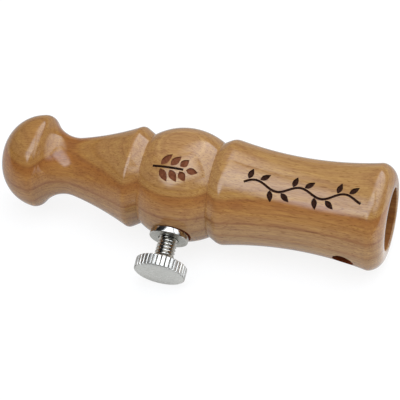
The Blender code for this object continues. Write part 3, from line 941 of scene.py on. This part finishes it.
waist = (barrel_surface, WAIST_MM)
vine_stem = bmesh.new()
stations = stations_between(VINE_MM, VINE_STEPS)
cut_stem(vine_stem, waist, [(station, vine_height(station)) for station in stations])
burn(barrel, vine_stem, charred_cherry)
vine_leaves = bmesh.new()
for bend in range(VINE_BENDS):
    for step in VINE_LEAF_STEPS_MM:
        station = VINE_MM[0] + (bend + 0.5) * VINE_WAVE_MM / 2 + step
        height = vine_height(station)
        rise = vine_height(station + SLOPE_STEP_MM) - vine_height(station - SLOPE_STEP_MM)
        slope = math.degrees(math.atan(rise / (2 * SLOPE_STEP_MM)))
        heading = slope + math.copysign(VINE_LEAF_TURN, height)
        cut_leaf(vine_leaves, waist, (station, height), heading, VINE_LEAF_MM, VINE_LEAF_GAP_MM)
burn(barrel, vine_leaves, charred_cherry)
finish_piece(barrel, body_axis, "barrel", "barrel")

# %% [markdown]
# ## The bush
#
# The nickel-plated bush is pressed into the ball and guides the screw. Only its flange shows. It is
# turned on the screw's axis, and its outer face, left satin by the cutter, gets a second material.

# %% Bush
BUSH_END_MM = 6.55
BUSH_MM = 2.8
BUSH_BORE_MM = 2.12
FLANGE_MM = (11.15, 12.4)
FLANGE_RADIUS_MM = 4.0
COLLAR_SEGMENTS = 128
FACING_OUT = 0.9


def face_end(shape):
    """Gives the second material to the faces that look out along the axis."""
    for face in shape.faces:
        if face.normal.x > FACING_OUT:
            face.material_index = 1


bush_shape = turn(
    (BUSH_END_MM, BUSH_BORE_MM),
    [
        (BUSH_END_MM, BUSH_MM, 0, 0.15),
        (FLANGE_MM[0], BUSH_MM),
        (FLANGE_MM[0], FLANGE_RADIUS_MM, 0, 0.12),
        (FLANGE_MM[1], FLANGE_RADIUS_MM, 0, 0.22),
        (FLANGE_MM[1], BUSH_BORE_MM, 0, 0.25),
    ],
    COLLAR_SEGMENTS,
)
face_end(bush_shape)
bush = mesh_object("bush", bush_shape, [nickel_plate, flange_shade_nickel])
finish_piece(bush, screw_axis, "mouthpiece", "screw_bush")

# %% [markdown]
# ## The tuning screw's head
#
# The flat head has a straight knurl. Cutting each groove would take many Booleans, so the knurl is
# pressed into the turned head, as a knurling wheel does it: wherever the head stands above the floor
# of a groove, it is pushed down to it, and the grooves run out in the chamfers by themselves.

# %% Turned head
HEAD_MM = (17.6, 20.3)
HEAD_RADIUS_MM = 5.27
CHAMFER_MM = (0.3, 0.55)  # along the axis, and across it
CHAMFER_BULGE_MM = 0.05
RIDGES = 36
RIDGE_STEPS = 10
head_face = HEAD_RADIUS_MM - CHAMFER_MM[1]
head_shape = turn(
    (HEAD_MM[0], 0),
    [
        (HEAD_MM[0], head_face),
        (HEAD_MM[0] + CHAMFER_MM[0], HEAD_RADIUS_MM, CHAMFER_BULGE_MM),
        (HEAD_MM[1] - CHAMFER_MM[0], HEAD_RADIUS_MM),
        (HEAD_MM[1], head_face, CHAMFER_BULGE_MM),
        (HEAD_MM[1], 0),
    ],
    RIDGES * RIDGE_STEPS,
)
face_end(head_shape)

# %% Knurl
KNURL_DEPTH_MM = 0.25
GROOVE_SHARE = 0.42  # of the way from ridge to ridge
GROOVE_SHADE_DEPTH = 0.9  # of the groove, and below
UPRIGHT = 0.2
for vert in head_shape.verts:
    radius = math.hypot(vert.co.y, vert.co.z)
    place = math.atan2(vert.co.y, vert.co.z) * RIDGES / FULL_CIRCLE
    off_groove = abs(place - round(place)) / (GROOVE_SHARE / 2)
    floor_radius = (HEAD_RADIUS_MM - KNURL_DEPTH_MM * max(0, 1 - off_groove)) * MM
    if radius > floor_radius:
        vert.co.y *= floor_radius / radius
        vert.co.z *= floor_radius / radius
# Painted shade: faces deep in the knurl's grooves get the dark nickel.
groove_shade_radius = (HEAD_RADIUS_MM - KNURL_DEPTH_MM * GROOVE_SHADE_DEPTH) * MM
for face in head_shape.faces:
    deepest = min(math.hypot(vert.co.y, vert.co.z) for vert in face.verts)
    if deepest < groove_shade_radius and abs(face.normal.x) < UPRIGHT:
        face.material_index = 2
head = mesh_object("tuning_screw_head", head_shape, [knurled_nickel, head_highlight_nickel, groove_shade_nickel])
finish_piece(head, screw_axis, "tuning_screw", "thumb_screw")

# %% [markdown]
# ## The tuning screw's shank
#
# The shank has an M4 thread, 0.7 mm from turn to turn. Stacked rings would pass for a thread from
# afar, but the thread is made as a real helix: the section of a ridge is spun about the axis while
# it moves along it, wound on a plain turned core. The tip is bored for the foot.

# %% Shank
SHANK_MM = 1.57
SHANK_END_MM = HEAD_MM[0] + 0.2  # sunk into the head
TIP_MM = 6.083
PAD_HOLE_MM = 1.0
PAD_HOLE_END_MM = 7.883
shank_shape = turn(
    (PAD_HOLE_END_MM, 0),
    [
        (PAD_HOLE_END_MM, PAD_HOLE_MM),
        (TIP_MM, PAD_HOLE_MM, 0, 0.1),
        (TIP_MM, SHANK_MM, 0, 0.2),
        (SHANK_END_MM, SHANK_MM),
        (SHANK_END_MM, 0),
    ],
    SMALL_SEGMENTS,
)
# Painted shade: the shank's turned core, under the thread's ridges, gets the dark nickel.
for face in shank_shape.faces:
    face.material_index = 1

# %% Thread
PITCH_MM = 0.7
ROOT_MM = SHANK_MM - 0.05  # sunk into the core
CREST_MM = 2.0
ROOT_HALF_MM = 0.32  # half the ridge's width, here and at its crest
CREST_HALF_MM = 0.06
THREAD_START_MM = TIP_MM + 0.75
THREAD_SPARE_MM = 1.1
THREAD_STEPS = 48
thread_turns = int((HEAD_MM[0] - TIP_MM - THREAD_SPARE_MM) / PITCH_MM)
ridge_outline = [
    (THREAD_START_MM - ROOT_HALF_MM, ROOT_MM),
    (THREAD_START_MM - CREST_HALF_MM, CREST_MM),
    (THREAD_START_MM + CREST_HALF_MM, CREST_MM),
    (THREAD_START_MM + ROOT_HALF_MM, ROOT_MM),
]
corners = [shank_shape.verts.new((x * MM, 0, z * MM)) for x, z in ridge_outline]
loop = [shank_shape.edges.new((corners[i - 1], corners[i])) for i in range(len(corners))]
bmesh.ops.spin(
    shank_shape,
    geom=corners + loop,
    axis=(1, 0, 0),
    dvec=(PITCH_MM / THREAD_STEPS * MM, 0, 0),
    angle=FULL_CIRCLE * thread_turns,
    steps=THREAD_STEPS * thread_turns,
)
open_edges = [edge for edge in shank_shape.edges if len(edge.link_faces) == 1]
bmesh.ops.holes_fill(shank_shape, edges=open_edges)
bmesh.ops.recalc_face_normals(shank_shape, faces=shank_shape.faces)
print("thread has", thread_turns, "turns")
shank = mesh_object("tuning_screw_shank", shank_shape, [nickel_plate, groove_shade_nickel])
finish_piece(shank, screw_axis, "tuning_screw", "thumb_screw")

# %% [markdown]
# ## The foot on the screw's tip
#
# A nylon foot turns freely on the tip, so that the screw doesn't score the reed. It is one small
# turning, a round pad with a stem that sits in the tip's bore.

# %% Foot
PAD_MM = (5.133, 5.933)
PAD_RADIUS_MM = 1.5
PAD_STEM_MM = 0.7
PAD_STEM_END_MM = 7.583
foot_shape = turn(
    (PAD_MM[0], 0),
    [
        (PAD_MM[0], PAD_RADIUS_MM, 0, 0.25),
        (PAD_MM[1], PAD_RADIUS_MM, 0, 0.1),
        (PAD_MM[1], PAD_STEM_MM, 0, 0.1),
        (PAD_STEM_END_MM, PAD_STEM_MM, 0, 0.1),
        (PAD_STEM_END_MM, 0),
    ],
    SMALL_SEGMENTS,
)
foot = mesh_object("reed_foot", foot_shape, [moulded_nylon])
finish_piece(foot, screw_axis, "screw_foot", "reed_pad")

# %% [markdown]
# ## The reed unit
#
# Inside, a beech plug holds a brass trough, and a thin brass tongue lies over the trough's flat.
# A small wedge clamps the tongue's root. Blown from the mouth, the tongue beats on the trough. The
# plug is turned with a rim, which the barrel traps against the tenon, and a groove for its ring.

# %% Plug
PLUG_MM = (47.45, 56.65, 57.65)  # front, rim and end
PLUG_RADIUS_MM = 5.0
PLUG_RIM_MM = 6.9
TROUGH_MM = 2.8
PLUG_BORE_MM = TROUGH_MM + 0.2
plug_shape = turn(
    (PLUG_MM[0], PLUG_BORE_MM),
    [
        (PLUG_MM[0], PLUG_RADIUS_MM, 0, 0.3),
        *ring_groove(RING_STATIONS_MM[1], PLUG_RADIUS_MM),
        (PLUG_MM[1], PLUG_RADIUS_MM),
        (PLUG_MM[1], PLUG_RIM_MM, 0, 0.12),
        (PLUG_MM[2], PLUG_RIM_MM, 0, 0.25),
        (PLUG_MM[2], PLUG_BORE_MM, 0, 0.2),
    ],
    COLLAR_SEGMENTS,
)
plug = mesh_object("reed_plug", plug_shape, [bare_beech])
finish_piece(plug, body_axis, "mouthpiece", "reed_block")

# %% [markdown]
# ## The trough
#
# The trough is a brass tube with a closed front, filed flat on one side until the bore opens into a
# slot. Turning the tube and cutting the flat off gives the slot's shape without drawing it.

# %% Trough
TROUGH_FRONT_MM = 30.15
TROUGH_BORE_MM = 2.2
TROUGH_WALL_MM = 1
TROUGH_FLAT_MM = 1.0
FLAT_END_MM = 53.75
FLAT_TOOL_MM = (4, 16, 8)  # its overrun at the front, its width and its height
trough_shape = turn(
    (TROUGH_FRONT_MM, 0),
    [
        (TROUGH_FRONT_MM, TROUGH_MM, 0, 0.5),
        (PLUG_MM[2], TROUGH_MM, 0, 0.1),
        (PLUG_MM[2], TROUGH_BORE_MM, 0, 0.1),
        (TROUGH_FRONT_MM + TROUGH_WALL_MM, TROUGH_BORE_MM, 0, 0.4),
        (TROUGH_FRONT_MM + TROUGH_WALL_MM, 0),
    ],
    TUBE_SEGMENTS,
)
trough = mesh_object("reed_trough_tube", trough_shape, [rolled_brass])
overrun, width, height = FLAT_TOOL_MM
length = FLAT_END_MM - TROUGH_FRONT_MM + overrun
middle = Vector((FLAT_END_MM - length / 2, 0, -TROUGH_FLAT_MM - height / 2)) * MM
flat_place = Matrix.Translation(middle) @ Matrix.Diagonal((length, width, height, 1))
flat_shape = bmesh.new()
bmesh.ops.create_cube(flat_shape, size=MM, matrix=flat_place)
cut(trough, mesh_object("trough_flat", flat_shape, [rolled_brass]))
finish_piece(trough, body_axis, "mouthpiece", "reed_trough")

# %% [markdown]
# ## The tongue
#
# The tongue is cut from thin sheet, with a round tip, and bent up a little from its root so that it
# can beat. A flat grid is moved to that outline and curve and then given its thickness.

# %% Tongue
REED_TIP_MM = 30.95
REED_ROOT_MM = 53.45
REED_FACE_MM = 1.4
REED_THICKNESS_MM = 0.25
REED_WIDTH_MM = 4.45
REED_LIFT_MM = 0.9
REED_GRID = (40, 8)
REED_TIP_SHARE = 0.3  # of the width, left at the tip
tongue_shape = bmesh.new()
bmesh.ops.create_grid(tongue_shape, x_segments=REED_GRID[0], y_segments=REED_GRID[1], size=0.5)
free_mm = PLUG_MM[0] - REED_TIP_MM
half = REED_WIDTH_MM / 2
for vert in tongue_shape.verts:
    from_tip = (vert.co.x + 0.5) * (REED_ROOT_MM - REED_TIP_MM)
    station = REED_TIP_MM + from_tip
    tip_round = math.sqrt(max(0, 1 - (max(0, half - from_tip) / half) ** 2))
    width = REED_WIDTH_MM * max(REED_TIP_SHARE, tip_round)
    share = max(0, (PLUG_MM[0] - station) / free_mm)
    height = -REED_FACE_MM + REED_THICKNESS_MM - REED_LIFT_MM * share**2
    vert.co = Vector((station, vert.co.y * width, height)) * MM
bmesh.ops.solidify(tongue_shape, geom=tongue_shape.faces, thickness=REED_THICKNESS_MM * MM)
bmesh.ops.recalc_face_normals(tongue_shape, faces=tongue_shape.faces)
tongue = mesh_object("reed_tongue", tongue_shape, [rolled_brass])
finish_piece(tongue, body_axis, "mouthpiece", "reed")

# %% [markdown]
# ## The wedge
#
# The wedge is a peg of the trough's radius, sawn on a slight slope. A plane cuts the turned peg, and
# the open rim is filled.

# %% Wedge
WEDGE_MM = (46.25, 51.75)
WEDGE_FACE_MM = 1.555
WEDGE_SLOPE = 0.035
wedge_shape = turn(
    (WEDGE_MM[0], 0),
    [
        (WEDGE_MM[0], TROUGH_MM, 0, 0.3),
        (WEDGE_MM[1], TROUGH_MM, 0, 0.1),
        (WEDGE_MM[1], 0),
    ],
    TUBE_SEGMENTS,
)
sawn = bmesh.ops.bisect_plane(
    wedge_shape,
    geom=list(wedge_shape.verts) + list(wedge_shape.edges) + list(wedge_shape.faces),
    plane_co=(WEDGE_MM[0] * MM, 0, -WEDGE_FACE_MM * MM),
    plane_no=(math.sin(WEDGE_SLOPE), 0, math.cos(WEDGE_SLOPE)),
    clear_outer=True,
)
rim = [part for part in sawn["geom_cut"] if isinstance(part, bmesh.types.BMEdge)]
bmesh.ops.contextual_create(wedge_shape, geom=rim)
bmesh.ops.recalc_face_normals(wedge_shape, faces=wedge_shape.faces)
wedge = mesh_object("reed_key", wedge_shape, [bare_beech])
finish_piece(wedge, body_axis, "mouthpiece", "reed_wedge")

# %% [markdown]
# ## The sealing rings
#
# Three round rubber rings sit in their grooves and seal the plug and the push-fit joint. Each is a
# circle spun about the axis.

# %% Sealing rings
RINGS_MM = (  # node, station, inner and outer radius
    ("tenon_ring_front", RING_STATIONS_MM[0], 6.65, 7.55),
    ("tenon_ring_rear", RING_STATIONS_MM[1], 6.65, 7.55),
    ("block_ring", RING_STATIONS_MM[1], 4.15, 5.05),
)
RING_SECTION_SEGMENTS = 24
for node, station, inner, outer in RINGS_MM:
    ring_shape = bmesh.new()
    middle = Vector((station, 0, (inner + outer) / 2)) * MM
    section = Matrix.Translation(middle) @ Matrix.Rotation(RIGHT_ANGLE, 4, "X")
    thick = (outer - inner) / 2 * MM
    bmesh.ops.create_circle(ring_shape, segments=RING_SECTION_SEGMENTS, radius=thick, matrix=section)
    spin_round(ring_shape, TUBE_SEGMENTS)
    ring = mesh_object("rubber_" + node, ring_shape, [nitrile_rubber])
    finish_piece(ring, body_axis, "mouthpiece", node)
